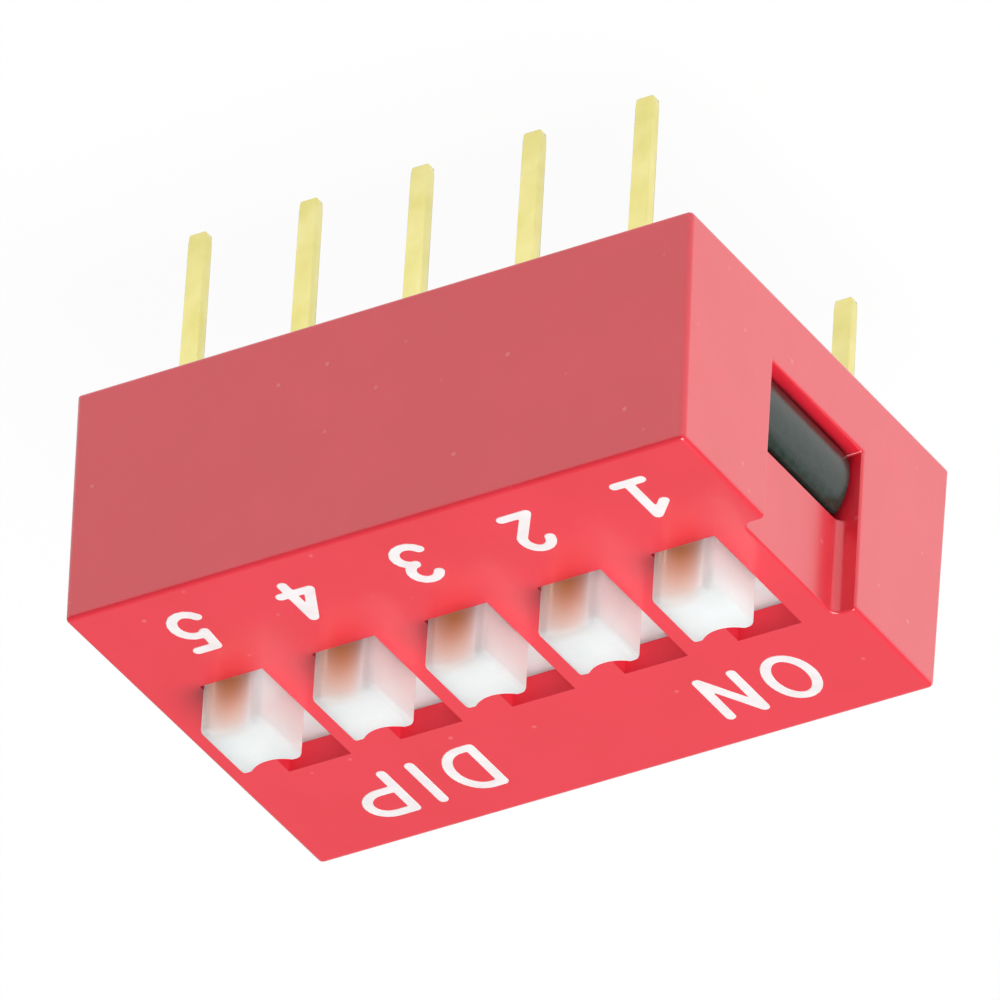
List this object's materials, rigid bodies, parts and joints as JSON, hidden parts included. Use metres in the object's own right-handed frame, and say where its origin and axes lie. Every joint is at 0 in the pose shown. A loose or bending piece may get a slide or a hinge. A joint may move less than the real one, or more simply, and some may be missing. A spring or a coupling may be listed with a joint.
{
  "type": "dip switch",
  "caption": "Slide switch block for a circuit board: moulded cover with a slot for each sliding knob, insulating base with contacts, and through-hole pins.",
  "frame": {"origin": "middle of the underside, on the plane that seats on the circuit board; the pins reach below it", "axes": "+X along the rows of pins from switch 1 to switch 5, +Y across them towards the ON side, +Z out of the face with the knobs"},
  "size_m": [0.0138, 0.0098, 0.0102],
  "materials": {
    "cover_plastic": "moulded red thermoplastic with a satin gloss",
    "base_plastic": "moulded black thermoplastic",
    "slider_plastic": "moulded white thermoplastic",
    "spring_metal": "gold-plated spring strip",
    "terminal_metal": "pale gold-plated stamped strip"
  },
  "bodies": {
    "root": {"cover": "cover_plastic", "base": "base_plastic", "terminal_1a": "terminal_metal", "terminal_2a": "terminal_metal", "terminal_3a": "terminal_metal", "terminal_4a": "terminal_metal", "terminal_5a": "terminal_metal", "terminal_1b": "terminal_metal", "terminal_2b": "terminal_metal", "terminal_3b": "terminal_metal", "terminal_4b": "terminal_metal", "terminal_5b": "terminal_metal"},
    "slider_1": {"slider_1": "slider_plastic", "contact_spring_1": "spring_metal"},
    "slider_2": {"slider_2": "slider_plastic", "contact_spring_2": "spring_metal"},
    "slider_3": {"slider_3": "slider_plastic", "contact_spring_3": "spring_metal"},
    "slider_4": {"slider_4": "slider_plastic", "contact_spring_4": "spring_metal"},
    "slider_5": {"slider_5": "slider_plastic", "contact_spring_5": "spring_metal"}
  },
  "joints": [
    {"name": "slide_1", "type": "slide", "parent": "root", "child": "slider_1", "axis": [0, 1, 0], "range_m": [0, 0.0016]},
    {"name": "slide_2", "type": "slide", "parent": "root", "child": "slider_2", "axis": [0, 1, 0], "range_m": [0, 0.0016]},
    {"name": "slide_3", "type": "slide", "parent": "root", "child": "slider_3", "axis": [0, 1, 0], "range_m": [0, 0.0016]},
    {"name": "slide_4", "type": "slide", "parent": "root", "child": "slider_4", "axis": [0, 1, 0], "range_m": [0, 0.0016]},
    {"name": "slide_5", "type": "slide", "parent": "root", "child": "slider_5", "axis": [0, 1, 0], "range_m": [0, 0.0016]}
  ]
}
